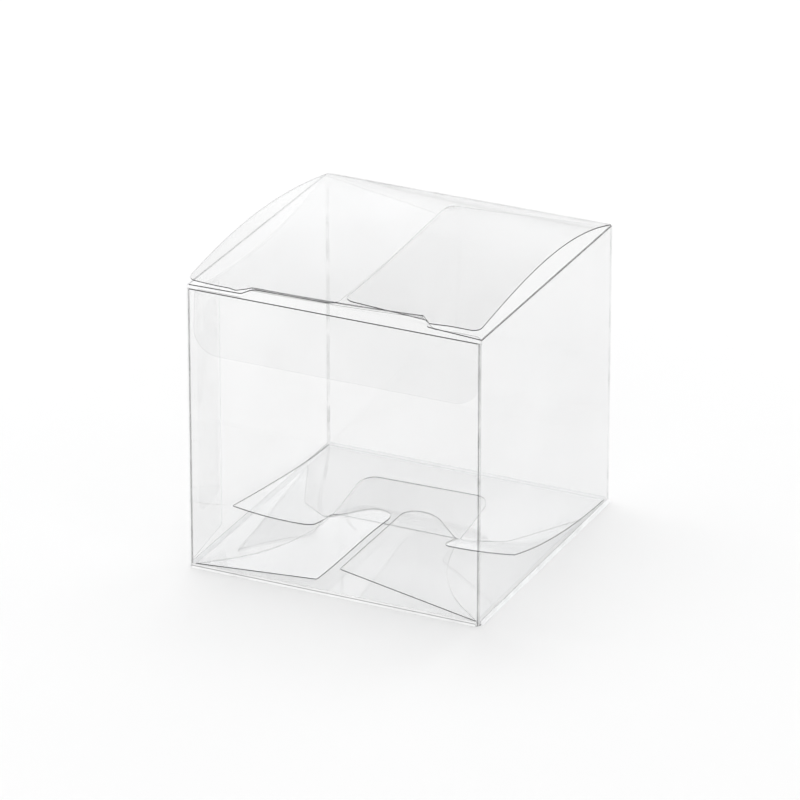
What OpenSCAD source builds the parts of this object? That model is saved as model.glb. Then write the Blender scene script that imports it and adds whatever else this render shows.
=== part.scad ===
// Clear folding favor box: a square sleeve of creased film, a tuck lid with
// slit-lock shoulders, two dust flaps and a snap-lock bottom of four flaps.
// Origin at the middle of the base, front towards -Y, +Z up, millimetres.

/* [Box] */
// Width across the front, outside the walls
box_w = 76; // [72:0.5:90]
// Depth from front to back, outside the walls
box_d = 76; // [72:0.5:90]
// Height of the side walls up to their top creases
box_h = 73; // [60:0.5:100]
// Thickness of the clear film
film = 0.25; // [0.2:0.01:0.28]
// Outer radius of the film at an upright corner crease
corner_r = 0.6; // [0.5:0.05:0.8]
// Drop of the front wall's cut edge below the top creases
front_drop = 0.6; // [0.4:0.1:1]

/* [Glued seam] */
// Width of the flap glued inside the left wall
glue_flap_w = 16.5; // [14:0.5:18]
// Shortening of the glue flap's free edge at each end
glue_flap_taper = 2.5; // [1:0.5:4]
// Distance of the glue flap's ends from the floor and from the top crease
glue_flap_inset = 1.6; // [1.4:0.1:3]
// Thickness of the glue line
glue_t = 0.1; // [0.05:0.01:0.12]
// Width of the glue line
glue_w = 10.5; // [8:0.5:11]
// Distance of the glue line behind the front face
glue_front = 5; // [4:0.5:5.5]
// Height of the glue line's lower end
glue_bottom = 12; // [10:0.5:16]
// Distance of the glue line's upper end below the top creases
glue_top = 8; // [6:0.5:14]
// Corner radius of the glue line
glue_r = 3; // [1:0.5:4]

/* [Creases] */
// Diameter of the pressed bead that a flap swings on
bead_d = 0.36; // [0.34:0.01:0.4]
// Gap between a bead and the film that swings on it
bead_gap = 0.05; // [0.04:0.01:0.08]
// Distance of a top bead's ends from the corners
top_bead_inset = 1; // [0.8:0.1:2]

/* [Lid] */
// Gap between the lid's edge and the outside of each side wall
lid_side_gap = 0.5; // [0.4:0.1:1]
// Height of the tuck crease above the back crease
lid_rise = 2.75; // [2.4:0.05:3.2]
// Distance of the tuck crease behind the front face
lid_setback = 3; // [2.8:0.1:3.4]
// Height of the lid's bow over a straight line from crease to crease
lid_bow = 5; // [4.5:0.1:6]
// Length of the tuck crease between the two slits
tuck_crease_w = 44; // [40:0.5:48]
// Depth of the slit-lock shoulders beyond the tuck crease
shoulder_d = 2.75; // [2:0.05:2.8]
// Sideways run of each slit's slanted end
slit_jog = 3; // [2:0.5:4]
// Corner radius of the lid's shoulders
shoulder_r = 2; // [1:0.25:2.25]

/* [Tuck flap] */
// Length of the tuck flap below its crease
tuck_len = 20.4; // [18:0.2:22]
// Gap between the tuck flap and the outside of each side wall
tuck_side_gap = 0.95; // [0.9:0.05:1.5]
// Corner radius at the tuck flap's lower edge
tuck_r = 6.5; // [4:0.5:8]
// Lean of the tuck flap from upright, lower edge forward
tuck_lean = 3.4; // [3:0.1:3.6]

/* [Dust flaps] */
// Length of a dust flap from the side wall to its free edge
dust_len = 37; // [34:0.5:37]
// Distance of a dust flap's front edge behind the front face
dust_front = 4.3; // [4.2:0.1:6]
// Distance of a dust flap's rear edge from the back face, at the wall
dust_back_near = 1.6; // [1.4:0.1:3]
// Distance of a dust flap's rear edge from the back face, at its free end
dust_back_far = 13.5; // [13:0.5:18]
// Corner radius at the free end, front
dust_front_r = 2.5; // [1.5:0.5:4]
// Corner radius at the free end, rear
dust_back_r = 3.5; // [2:0.5:4]
// Upward tilt of the left dust flap
dust_left_tilt = 0.7; // [0.4:0.1:1.5]
// Upward tilt of the right dust flap, sprung up under the lid
dust_right_tilt = 3.5; // [2:0.1:3.6]

/* [Bottom, tongue panel] */
// Height of the front bottom crease above the floor
front_hinge_z = 0.2; // [0.18:0.01:0.24]
// Upward slope of the front panel, rise over run
front_slope = 0.072; // [0.07:0.001:0.075]
// Inset of the front panel's ends from the side walls' outside
front_end_inset = 1; // [0.8:0.1:1.5]
// Where the panel's slanted sides start to curve, sideways from the box's corner
front_curve_x = 5.4; // [5:0.1:6]
// Where the panel's slanted sides start to curve, behind the front face
front_curve_y = 5; // [4.6:0.1:5.4]
// Width of the lock tongue
tongue_w = 34; // [30:0.5:34.4]
// Distance of the tongue's root behind the front face
tongue_root = 36; // [35:0.5:37]
// Distance of the tongue's end behind the front face
tongue_end = 53; // [50:0.5:55]
// Corner radius at the tongue's end
tongue_r = 4; // [2:0.5:6]
// Where the tongue starts to bend upwards, behind the front face
tongue_bend_start = 32; // [31:0.5:33]
// Where the tongue stops bending, behind the front face
tongue_bend_end = 44; // [42:0.5:46]
// Bend radius of the tongue
tongue_bend_r = 100; // [95:1:110]

/* [Bottom, notched back panel] */
// Height of the back bottom crease above the floor
back_hinge_z = 0.75; // [0.72:0.01:0.8]
// Gap between the panel at the notch's edge and the tongue's underside
notch_gap = 0.11; // [0.1:0.01:0.14]
// Inset of the back panel's sides from the side walls' outside
back_side_inset = 0.8; // [0.7:0.1:1.2]
// Width of the notch that the tongue passes through
notch_w = 35; // [34.8:0.1:36]
// Distance of the notch's edge behind the front face
notch_edge = 36.3; // [36:0.1:36.8]
// Distance of the legs' inner corners behind the front face
leg_inner_y = 28.5; // [27:0.5:30]
// Distance of the legs' outer tips behind the front face
leg_tip_y = 22; // [20:0.5:24]
// Radius of the legs' inner corners
leg_corner_r = 2; // [1:0.5:3]
// Where the left leg starts to curl up, behind the front face
left_curl_start = 44; // [43:0.5:45]
// Curl radius of the left leg
left_curl_r = 78; // [70:1:80]
// Where the right leg starts to curl up, behind the front face
right_curl_start = 48; // [47:0.5:49]
// Curl radius of the right leg
right_curl_r = 60; // [55:1:62]

/* [Bottom, side flaps] */
// Height of the side flaps' creases above the floor
side_hinge_z = 0.55; // [0.54:0.01:0.58]
// Upward slope of the left flap, rise over run
left_slope = 0.114; // [0.113:0.001:0.116]
// Upward slope of the right flap, rise over run
right_slope = 0.166; // [0.16:0.001:0.168]
// Length of a side flap from the side wall's outside to its inner edge
side_len = 36.6; // [35:0.1:37]
// Distance of a side flap's front edge behind the front face
side_front = 1; // [0.9:0.1:1.5]
// Distance behind the front face of the flap's rear end, at its crease
side_rear = 62; // [58:0.5:62]
// Slanted rear edge, last point: inwards from the side wall's outside
slant_x = 11; // [10:0.5:11]
// Slanted rear edge, last point: behind the front face
slant_y = 40; // [39:0.5:40]
// Valley beside the tongue: inwards from the side wall's outside
valley_x = 20.5; // [20:0.1:20.6]
// Valley beside the tongue: behind the front face
valley_y = 32.3; // [31:0.1:32.5]
// Middle of the hook's round top: inwards from the side wall's outside
hook_x = 31; // [30:0.5:31.5]
// Middle of the hook's round top: behind the front face
hook_y = 34; // [33:0.5:34]
// Radius of the hook's round top
hook_r = 5.4; // [5:0.1:5.5]

/* [Hidden] */

// Facets of the round faces
round_fn = 96;
// Points along a rounded outline corner
corner_steps = 8;
// Straight pieces along a bend
bend_steps = 8;

// Faces of the box
side_x = box_w / 2;
front_y = -box_d / 2;
back_y = box_d / 2;
bead_r = bead_d / 2;
swing_r = bead_r + bead_gap;

// Creases at the top, each bead flush with its wall's outside
top_z = box_h;
wall_top = box_h - bead_r / 2;
front_top = box_h - front_drop;
lid_hinge_y = back_y - bead_r;
dust_hinge_x = side_x - bead_r;

// The seam's layers, counted inwards from the left wall's outside
glue_x = -side_x + film;
glue_len = box_h - glue_bottom - glue_top;
glue_flap_x = glue_x + glue_t;
seam_corner_x = glue_flap_x + corner_r;

// The lid's arc from the back crease to the tuck crease
tuck_y = front_y + lid_setback;
tuck_z = top_z + lid_rise;
lid_run = lid_hinge_y - tuck_y;
lid_chord = sqrt(lid_run * lid_run + lid_rise * lid_rise);
lid_r = (lid_chord * lid_chord / 4 + lid_bow * lid_bow) / (2 * lid_bow);
lid_drop = (lid_r - lid_bow) / lid_chord;
lid_axis_y = (lid_hinge_y + tuck_y) / 2 - lid_rise * lid_drop;
lid_axis_z = (top_z + tuck_z) / 2 - lid_run * lid_drop;
lid_half_w = side_x - lid_side_gap;
tuck_half_w = side_x - tuck_side_gap;
slit_x = tuck_crease_w / 2;

// Creases at the floor, each bead let into its wall's inside face
front_hinge_y = front_y + film;
back_hinge_y = back_y - film;
side_hinge_x = side_x - film;
tongue_half_w = tongue_w / 2;
notch_half_w = notch_w / 2;

// Points of a round corner between two angles, in degrees
function corner(centre, r, from, to) = [
    for (i = [0 : corner_steps])
    let (a = from + (to - from) * i / corner_steps)
    centre + r * [cos(a), sin(a)]
];

// The same points on the other side of X = 0, in reverse order
function mirrored(points) = [
    for (i = [len(points) - 1 : -1 : 0]) [-points[i].x, points[i].y]
];

// Height of a bent sheet's middle over its crease, at a run from the crease
function bent_rise(run, slope, start, stop, r) =
    let (bend = max(min(run, stop) - start, 0))
    slope * run + bend * bend / (2 * r) + max(run - stop, 0) * bend / r;

// Runs from the crease where a bent sheet has a corner in its section
function bent_runs(start, stop, last) = concat(
    [0],
    [for (i = [0 : bend_steps]) start + (stop - start) * i / bend_steps],
    last > stop ? [last] : []
);

// The notched panel rises to its clearance under the tongue at the notch's edge
notch_run = box_d - film - notch_edge;
tongue_z = front_hinge_z + bent_rise(
    notch_edge - film,
    front_slope,
    tongue_bend_start - film,
    tongue_bend_end - film,
    tongue_bend_r
);
back_slope = (tongue_z - film - notch_gap - back_hinge_z) / notch_run;

// Section of a bent sheet as [run, height] points, from its crease outwards
function bent_section(slope, start, stop, r, last) =
    let (runs = bent_runs(start, stop, last))
    concat(
        [for (u = runs) [u, bent_rise(u, slope, start, stop, r) + film / 2]],
        [for (i = [len(runs) - 1 : -1 : 0])
            [runs[i], bent_rise(runs[i], slope, start, stop, r) - film / 2]]
    );

// A bar along X through the origin
module bar_x(r, length) {
    rotate([0, 90, 0])
    cylinder(r = r, h = length, center = true, $fn = round_fn);
}

// A bar along Y through the origin
module bar_y(r, length) {
    rotate([90, 0, 0])
    cylinder(r = r, h = length, center = true, $fn = round_fn);
}

// The film's round bend at an upright corner, quadrant towards [sx, sy]
module corner_bend(sx, sy, height) {
    linear_extrude(height)
    intersection() {
        difference() {
            circle(r = corner_r, $fn = round_fn);
            circle(r = corner_r - film, $fn = round_fn);
        }
        translate([sx < 0 ? -corner_r : 0, sy < 0 ? -corner_r : 0])
        square(corner_r);
    }
}

// A sheet with a bent section in YZ, as wide as asked along X
module bent_sheet(width, section) {
    translate([-width / 2, 0, 0])
    rotate([90, 0, 90])
    linear_extrude(width)
    polygon(section);
}

// Sleeve

module front_wall() {
    color("white", 0.35)
    difference() {
        translate([seam_corner_x, front_y, 0])
        cube([side_x - corner_r - seam_corner_x, film, front_top]);
        bottom_front_bead(bead_r);
    }
}

module right_wall() {
    color("white", 0.35)
    difference() {
        translate([side_x - film, front_y + corner_r, 0])
        cube([film, box_d - 2 * corner_r, wall_top]);
        mirror([1, 0, 0])
        dust_bead(bead_r);
        mirror([1, 0, 0])
        bottom_side_bead(bead_r);
    }
}

module back_wall() {
    color("white", 0.35)
    difference() {
        translate([corner_r - side_x, back_y - film, 0])
        cube([box_w - 2 * corner_r, film, wall_top]);
        lid_bead(bead_r);
        bottom_back_bead(bead_r);
    }
}

module left_wall() {
    color("white", 0.35)
    difference() {
        translate([-side_x, front_y + film, 0])
        cube([film, box_d - corner_r - film, wall_top]);
        dust_bead(bead_r);
        bottom_side_bead(bead_r);
    }
}

module front_left_crease() {
    color("lightgray", 0.6)
    translate([seam_corner_x, front_y + corner_r, 0])
    corner_bend(-1, -1, front_top);
}

module front_right_crease() {
    color("lightgray", 0.6)
    translate([side_x - corner_r, front_y + corner_r, 0])
    corner_bend(1, -1, front_top);
}

module back_right_crease() {
    color("lightgray", 0.6)
    translate([side_x - corner_r, back_y - corner_r, 0])
    corner_bend(1, 1, wall_top);
}

module back_left_crease() {
    color("lightgray", 0.6)
    translate([corner_r - side_x, back_y - corner_r, 0])
    corner_bend(-1, 1, wall_top);
}

module glue_flap() {
    near_y = front_y + corner_r;
    far_y = front_y + glue_flap_w;
    low_z = glue_flap_inset;
    high_z = front_top - glue_flap_inset;
    color("white", 0.35)
    translate([glue_flap_x, 0, 0])
    rotate([90, 0, 90])
    linear_extrude(film)
    polygon([
        [near_y, low_z],
        [far_y, low_z + glue_flap_taper],
        [far_y, high_z - glue_flap_taper],
        [near_y, high_z]
    ]);
}

module glue_line() {
    low = [front_y + glue_front + glue_r, glue_bottom + glue_r];
    high = low + [glue_w - 2 * glue_r, glue_len - 2 * glue_r];
    color("ghostwhite", 0.5)
    translate([glue_x, 0, 0])
    rotate([90, 0, 90])
    linear_extrude(glue_t)
    polygon(concat(
        corner(low, glue_r, 180, 270),
        corner([high.x, low.y], glue_r, 270, 360),
        corner(high, glue_r, 0, 90),
        corner([low.x, high.y], glue_r, 90, 180)
    ));
}

// Lid

module lid_bead(r) {
    translate([0, lid_hinge_y, top_z])
    bar_x(r, 2 * lid_half_w);
}

module lid_crease() {
    color("lightgray", 0.6)
    lid_bead(bead_r);
}

module tuck_bead(r) {
    translate([0, tuck_y, tuck_z])
    bar_x(r, tuck_crease_w);
}

module tuck_crease() {
    color("lightgray", 0.6)
    tuck_bead(bead_r);
}

// The lid seen from above, from the back crease to the shoulders' front edge
module lid_outline() {
    shoulder_y = tuck_y - shoulder_d;
    round_y = shoulder_y + shoulder_r;
    round_x = lid_half_w - shoulder_r;
    polygon(concat(
        [[-lid_half_w, lid_hinge_y]],
        corner([-round_x, round_y], shoulder_r, 180, 270),
        [
            [-slit_x - slit_jog, shoulder_y],
            [-slit_x, tuck_y],
            [slit_x, tuck_y],
            [slit_x + slit_jog, shoulder_y]
        ],
        corner([round_x, round_y], shoulder_r, 270, 360),
        [[lid_half_w, lid_hinge_y]]
    ));
}

module lid_panel() {
    color("white", 0.35)
    difference() {
        intersection() {
            translate([0, lid_axis_y, lid_axis_z])
            difference() {
                bar_x(lid_r + film / 2, box_w);
                bar_x(lid_r - film / 2, 2 * box_w);
            }
            translate([0, 0, top_z - film])
            linear_extrude(2 * lid_bow + lid_rise)
            lid_outline();
        }
        translate([0, lid_hinge_y, top_z])
        bar_x(swing_r, box_w);
        tuck_bead(bead_r);
    }
}

module tuck_flap() {
    low_y = -tuck_len + tuck_r;
    low_x = tuck_half_w - tuck_r;
    color("white", 0.35)
    difference() {
        translate([0, tuck_y, tuck_z])
        rotate([90 - tuck_lean, 0, 0])
        translate([0, 0, -film / 2])
        linear_extrude(film)
        polygon(concat(
            corner([-low_x, low_y], tuck_r, 180, 270),
            corner([low_x, low_y], tuck_r, 270, 360),
            [
                [tuck_half_w, -shoulder_d],
                [slit_x + slit_jog, -shoulder_d],
                [slit_x, 0],
                [-slit_x, 0],
                [-slit_x - slit_jog, -shoulder_d],
                [-tuck_half_w, -shoulder_d]
            ]
        ));
        translate([0, tuck_y, tuck_z])
        bar_x(swing_r, box_w);
    }
}

// Dust flaps, drawn for the left wall

module dust_bead(r) {
    translate([-dust_hinge_x, 0, top_z])
    bar_y(r, box_d - 2 * top_bead_inset);
}

module dust_flap(tilt) {
    free_x = dust_len - side_x;
    front = front_y + dust_front;
    near = back_y - dust_back_near;
    far = back_y - dust_back_far;
    slant = atan2(near - far, free_x + dust_hinge_x);
    front_centre = [free_x - dust_front_r, front + dust_front_r];
    back_centre = [
        free_x - dust_back_r,
        far - dust_back_r / cos(slant) + dust_back_r * tan(slant)
    ];
    color("white", 0.35)
    difference() {
        translate([-dust_hinge_x, 0, top_z])
        rotate([0, -tilt, 0])
        translate([dust_hinge_x, 0, -film / 2])
        linear_extrude(film)
        polygon(concat(
            [[-dust_hinge_x, front]],
            corner(front_centre, dust_front_r, 270, 360),
            corner(back_centre, dust_back_r, 0, 90 - slant),
            [[-dust_hinge_x, near]]
        ));
        dust_bead(swing_r);
    }
}

module left_dust_flap() {
    dust_flap(dust_left_tilt);
}

module left_dust_crease() {
    color("lightgray", 0.6)
    dust_bead(bead_r);
}

module right_dust_flap() {
    mirror([1, 0, 0])
    dust_flap(dust_right_tilt);
}

module right_dust_crease() {
    color("lightgray", 0.6)
    mirror([1, 0, 0])
    dust_bead(bead_r);
}

// Bottom, tongue panel

module bottom_front_bead(r) {
    translate([0, front_hinge_y, front_hinge_z])
    bar_x(r, box_w - 2 * front_end_inset);
}

module bottom_front_crease() {
    color("lightgray", 0.6)
    bottom_front_bead(bead_r);
}

// The tongue panel seen from above: slanted starts, arcs that turn into the
// tongue's straight sides, and the tongue's rounded end
module tongue_outline() {
    root_y = front_y + tongue_root;
    end_y = front_y + tongue_end;
    start = [side_x - front_curve_x, front_y + front_curve_y];
    rise = root_y - start.y;
    spread = start.x - tongue_half_w;
    side_r = (rise * rise + spread * spread) / (2 * spread);
    sweep = asin(rise / side_r);
    right_side = concat(
        [[side_x - front_end_inset, front_hinge_y]],
        corner([tongue_half_w + side_r, root_y], side_r, 180 + sweep, 180),
        corner([tongue_half_w - tongue_r, end_y - tongue_r], tongue_r, 0, 90)
    );
    polygon(concat(right_side, mirrored(right_side)));
}

module bottom_front_panel() {
    color("white", 0.35)
    difference() {
        intersection() {
            translate([0, front_hinge_y, front_hinge_z])
            bent_sheet(box_w, bent_section(
                front_slope,
                tongue_bend_start - film,
                tongue_bend_end - film,
                tongue_bend_r,
                tongue_end
            ));
            linear_extrude(box_h)
            tongue_outline();
        }
        translate([0, front_hinge_y, front_hinge_z])
        bar_x(swing_r, box_w);
    }
}

// Bottom, notched back panel

module bottom_back_bead(r) {
    translate([0, back_hinge_y, back_hinge_z])
    bar_x(r, box_w - 2 * back_side_inset);
}

module bottom_back_crease() {
    color("lightgray", 0.6)
    bottom_back_bead(bead_r);
}

// Plan of the right leg with its share of the panel
module leg_outline() {
    outer_x = side_x - back_side_inset;
    tip = [outer_x, front_y + leg_tip_y];
    inner = [notch_half_w, front_y + leg_inner_y];
    slant = atan2(inner.y - tip.y, outer_x - notch_half_w);
    centre = [
        inner.x + leg_corner_r,
        inner.y + leg_corner_r / cos(slant) - leg_corner_r * tan(slant)
    ];
    polygon(concat(
        [tip, [outer_x, back_hinge_y], [notch_half_w, back_hinge_y]],
        corner(centre, leg_corner_r, 180, 270 - slant)
    ));
}

// The right leg, curled up from a line behind the front face
module leg(curl_start, curl_r) {
    intersection() {
        translate([0, back_hinge_y, back_hinge_z])
        mirror([0, 1, 0])
        bent_sheet(box_w, bent_section(
            back_slope,
            box_d - curl_start - film,
            box_d - leg_tip_y,
            curl_r,
            box_d - leg_tip_y
        ));
        linear_extrude(box_h)
        leg_outline();
    }
}

module bottom_back_panel() {
    middle_y = front_y + notch_edge;
    color("white", 0.35)
    difference() {
        union() {
            leg(right_curl_start, right_curl_r);
            mirror([1, 0, 0])
            leg(left_curl_start, left_curl_r);
            intersection() {
                translate([0, back_hinge_y, back_hinge_z])
                mirror([0, 1, 0])
                bent_sheet(notch_w, bent_section(back_slope, box_d, box_d, box_d, box_d));
                translate([-notch_half_w, middle_y, 0])
                cube([notch_w, back_hinge_y - middle_y, box_h]);
            }
        }
        translate([0, back_hinge_y, back_hinge_z])
        bar_x(swing_r, box_w);
    }
}

// Bottom, side flaps, drawn for the left wall

module bottom_side_bead(r) {
    translate([-side_hinge_x, front_y + (side_front + side_rear) / 2, side_hinge_z])
    bar_y(r, side_rear - side_front);
}

module bottom_side_flap(slope) {
    tilt = atan(slope);
    corner_point = [-side_x, front_y];
    hook = corner_point + [hook_x, hook_y];
    valley = corner_point + [valley_x, valley_y];
    reach = norm(hook - valley);
    lean = atan2(hook.y - valley.y, hook.x - valley.x);
    touch = lean + 180 - acos(hook_r / reach);
    color("white", 0.35)
    difference() {
        translate([-side_hinge_x, 0, side_hinge_z])
        rotate([0, -tilt, 0])
        translate([side_hinge_x, 0, -film / 2])
        linear_extrude(film)
        polygon(concat(
            [
                [-side_hinge_x, front_y + side_front],
                [side_len - side_x, front_y + side_front]
            ],
            corner(hook, hook_r, 0, touch),
            [
                valley,
                corner_point + [slant_x, slant_y],
                [-side_hinge_x, front_y + side_rear]
            ]
        ));
        translate([-side_hinge_x, 0, side_hinge_z])
        bar_y(swing_r, box_d);
    }
}

module bottom_left_flap() {
    bottom_side_flap(left_slope);
}

module bottom_left_crease() {
    color("lightgray", 0.6)
    bottom_side_bead(bead_r);
}

module bottom_right_flap() {
    mirror([1, 0, 0])
    bottom_side_flap(right_slope);
}

module bottom_right_crease() {
    color("lightgray", 0.6)
    mirror([1, 0, 0])
    bottom_side_bead(bead_r);
}

front_wall();
right_wall();
back_wall();
left_wall();
front_left_crease();
front_right_crease();
back_right_crease();
back_left_crease();
glue_flap();
glue_line();
lid_panel();
lid_crease();
tuck_crease();
tuck_flap();
left_dust_flap();
left_dust_crease();
right_dust_flap();
right_dust_crease();
bottom_front_panel();
bottom_front_crease();
bottom_back_panel();
bottom_back_crease();
bottom_left_flap();
bottom_left_crease();
bottom_right_flap();
bottom_right_crease();
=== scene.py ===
import math

import bpy
import numpy as np
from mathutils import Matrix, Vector
from mathutils.geometry import delaunay_2d_cdt


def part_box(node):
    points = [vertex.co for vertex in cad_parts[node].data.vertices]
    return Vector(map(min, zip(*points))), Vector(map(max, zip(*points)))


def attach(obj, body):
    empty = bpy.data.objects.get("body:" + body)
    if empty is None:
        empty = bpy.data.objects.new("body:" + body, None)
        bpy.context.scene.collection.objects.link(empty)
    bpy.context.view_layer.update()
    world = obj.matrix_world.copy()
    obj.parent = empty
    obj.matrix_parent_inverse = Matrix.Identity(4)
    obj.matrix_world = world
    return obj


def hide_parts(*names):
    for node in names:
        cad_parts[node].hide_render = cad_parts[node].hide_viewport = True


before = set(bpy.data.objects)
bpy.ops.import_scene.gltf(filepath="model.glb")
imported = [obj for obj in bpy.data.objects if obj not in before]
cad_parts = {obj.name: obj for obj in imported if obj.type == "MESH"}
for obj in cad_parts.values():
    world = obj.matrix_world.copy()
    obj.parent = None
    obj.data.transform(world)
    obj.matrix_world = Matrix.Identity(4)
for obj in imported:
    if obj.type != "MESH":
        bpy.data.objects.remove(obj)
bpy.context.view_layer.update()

# Sizes of the box, in millimetres, the same as in the CAD source
MM = 0.001
SIDE = 38.0
TOP = 73.0
FILM = 0.25
BEAD_R = 0.18
SWING_R = 0.23
LID_HINGE_Y = 37.82
TUCK_Y = -35.0
TUCK_Z = 75.75
SLIT_X = 22.0
SLIT_JOG = 3.0
SHOULDER_D = 2.75
WALL_IN = SIDE - FILM

# How sheets are meshed, in millimetres or as a share of a step
STEP = 1.8
NEAR = 0.02
GRID_ROW = 0.87
GRID_CLEAR = 0.45
SLOPE_STEP = 1e-3
FLAT_MAP = 100.0


# Curves and outlines

def arc(cx, cy, r, a0, a1, steps):
    """Points of a round corner between two angles, in degrees."""
    angles = np.radians(np.linspace(a0, a1, steps + 1))
    return [(cx + r * math.cos(a), cy + r * math.sin(a)) for a in angles]


def rounded(points, radii, steps=7):
    """A closed outline with its corners rounded, by radius."""
    out = []
    count = len(points)
    for i in range(count):
        p = np.array(points[i], float)
        a = np.array(points[i - 1], float) - p
        b = np.array(points[(i + 1) % count], float) - p
        r = radii[i]
        if r <= 0:
            out.append(tuple(p))
            continue
        a /= np.linalg.norm(a)
        b /= np.linalg.norm(b)
        half = math.acos(np.clip(a @ b, -1, 1)) / 2
        reach = r / math.tan(half)
        middle = a + b
        centre = p + middle / np.linalg.norm(middle) * r / math.sin(half)
        start = p + a * reach - centre
        stop = p + b * reach - centre
        a0 = math.atan2(start[1], start[0])
        a1 = math.atan2(stop[1], stop[0])
        turn = (a1 - a0 + math.pi) % (2 * math.pi) - math.pi
        for k in range(steps + 1):
            t = a0 + turn * k / steps
            out.append((centre[0] + r * math.cos(t), centre[1] + r * math.sin(t)))
    return out


def mirrored(points):
    """The same points on the other side of x = 0, in the order that closes an outline."""
    return [(-x, y) for x, y in reversed(points)]


def smooth(t):
    """A soft step from 0 to 1."""
    t = np.clip(t, 0.0, 1.0)
    return t * t * (3 - 2 * t)


def subdivided(outline, step):
    """The same outline with no edge longer than step."""
    out = []
    for i, p in enumerate(outline):
        q = outline[(i + 1) % len(outline)]
        n = max(1, math.ceil(math.dist(p, q) / step))
        out += [(p[0] + (q[0] - p[0]) * k / n, p[1] + (q[1] - p[1]) * k / n) for k in range(n)]
    kept = [out[0]]
    for p in out[1:]:
        if math.dist(p, kept[-1]) > NEAR:
            kept.append(p)
    if math.dist(kept[0], kept[-1]) <= NEAR:
        kept.pop()
    return kept


def sheet(name, outline, place, film_look, edge_look, step, thick=FILM):
    """A film cut to outline, a list of (u, v), and laid by place(u, v), which gives points in millimetres.

    edge_look gives the look of a cut edge from its outward direction in (u, v)."""
    loop = subdivided(outline, step)
    if sum(p[0] * q[1] - q[0] * p[1] for p, q in zip(loop, loop[1:] + loop[:1])) < 0:
        loop.reverse()
    edge = np.array(loop)
    low, high = edge.min(0), edge.max(0)
    inner = []
    for j, v in enumerate(np.arange(low[1] + step * 0.5, high[1], step * GRID_ROW)):
        for u in np.arange(low[0] + (0.25 + 0.5 * (j % 2)) * step, high[0], step):
            inner.append((u, v))
    inner = np.array(inner)
    # Keep the grid points that lie inside the outline and clear of it
    after = np.roll(edge, -1, axis=0)
    x, y = inner[:, :1], inner[:, 1:]
    crosses = (edge[:, 1] > y) != (after[:, 1] > y)
    run = after[:, 1] - edge[:, 1]
    run = np.where(np.abs(run) < 1e-12, 1e-12, run)
    at = edge[:, 0] + (y - edge[:, 1]) * (after[:, 0] - edge[:, 0]) / run
    inside = (crosses & (x < at)).sum(1) % 2 == 1
    span = after - edge
    length = (span ** 2).sum(1)
    t = np.clip(((x - edge[:, 0]) * span[:, 0] + (y - edge[:, 1]) * span[:, 1]) / length, 0, 1)
    gap = np.hypot(x - edge[:, 0] - t * span[:, 0], y - edge[:, 1] - t * span[:, 1]).min(1)
    inner = inner[inside & (gap > step * GRID_CLEAR)]
    points = [Vector(p) for p in loop] + [Vector(p) for p in inner.tolist()]
    got = delaunay_2d_cdt(points, [], [list(range(len(loop)))], 1, 1e-6)
    flat = np.array([tuple(p) for p in got[0]])
    faces = [tuple(f) for f in got[2]]
    u, v = flat[:, 0], flat[:, 1]
    h = SLOPE_STEP
    middle = np.stack(place(u, v), 1)
    du = np.stack(place(u + h, v), 1) - np.stack(place(u - h, v), 1)
    dv = np.stack(place(u, v + h), 1) - np.stack(place(u, v - h), 1)
    normal = np.cross(du, dv)
    normal /= np.linalg.norm(normal, axis=1)[:, None]
    upper = middle + normal * thick / 2
    lower = middle - normal * thick / 2
    count = len(flat)
    directed = dict.fromkeys(pair for f in faces for pair in zip(f, f[1:] + f[:1]))
    rim = [(a, b) for a, b in directed if (b, a) not in directed]
    polys = faces + [tuple(reversed([i + count for i in f])) for f in faces]
    sides = [(a, a + count, b + count, b) for a, b in rim]
    mesh = bpy.data.meshes.new(name)
    mesh.from_pydata((np.vstack([upper, lower]) * MM).tolist(), [], polys + sides)
    looks = [film_look]
    index = np.zeros(len(mesh.polygons), np.int32)
    for k, (a, b) in enumerate(rim):
        out = np.array([flat[b][1] - flat[a][1], flat[a][0] - flat[b][0]])
        look = edge_look(*(out / np.linalg.norm(out)))
        if look not in looks:
            looks.append(look)
        index[len(polys) + k] = looks.index(look)
    for look in looks:
        mesh.materials.append(look)
    mesh.polygons.foreach_set("material_index", index)
    mesh.polygons.foreach_set("use_smooth", np.ones(len(mesh.polygons), bool))
    sharp = {frozenset(e) for e in rim} | {frozenset((a + count, b + count)) for a, b in rim}
    mesh.update()
    marks = [frozenset(e.vertices) in sharp for e in mesh.edges]
    mesh.attributes.new("sharp_edge", "BOOLEAN", "EDGE").data.foreach_set("value", marks)
    flat_map = mesh.uv_layers.new(name="flat")
    loops = np.zeros(len(mesh.loops), np.int32)
    mesh.loops.foreach_get("vertex_index", loops)
    flat_map.data.foreach_set("uv", (flat[loops % count] / FLAT_MAP).astype(np.float32).ravel())
    mesh.validate()
    piece = bpy.data.objects.new(name, mesh)
    bpy.context.scene.collection.objects.link(piece)
    return piece


# Materials

GLOSS = (0.95, 0.955, 0.96, 1)
VEIL = (0.8, 0.81, 0.82, 1)
# The folds' white: partly the film's own whitening, partly a painted highlight
FOLD_WHITE_AND_HIGHLIGHT = 0.93
PLASTIC_IOR = 1.57
WAVE_FINE = 0.015
WAVE_DEPTH = 0.0004
# How far under a wall's top its painted shade reaches, in metres
TOP_SHADE_BAND = 0.00016
# The folds' faint glow, painted light
FOLD_GLOW = 0.12
# How fast the mirror's share grows aslant for light on its way to the floor
FLOOR_POWER = 2.7
# The painted shade line along the front foot: heights in millimetres at which it begins and ends
SHADE_LINE_RISE = (0.5, 0.53, 0.62, 0.65)


def new_material(name):
    mat = bpy.data.materials.new(name)
    mat.use_nodes = True
    mat.node_tree.nodes.clear()
    return mat


def node(tree, kind, **values):
    made = tree.nodes.new(kind)
    for key, value in values.items():
        setattr(made, key, value)
    return made


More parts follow.
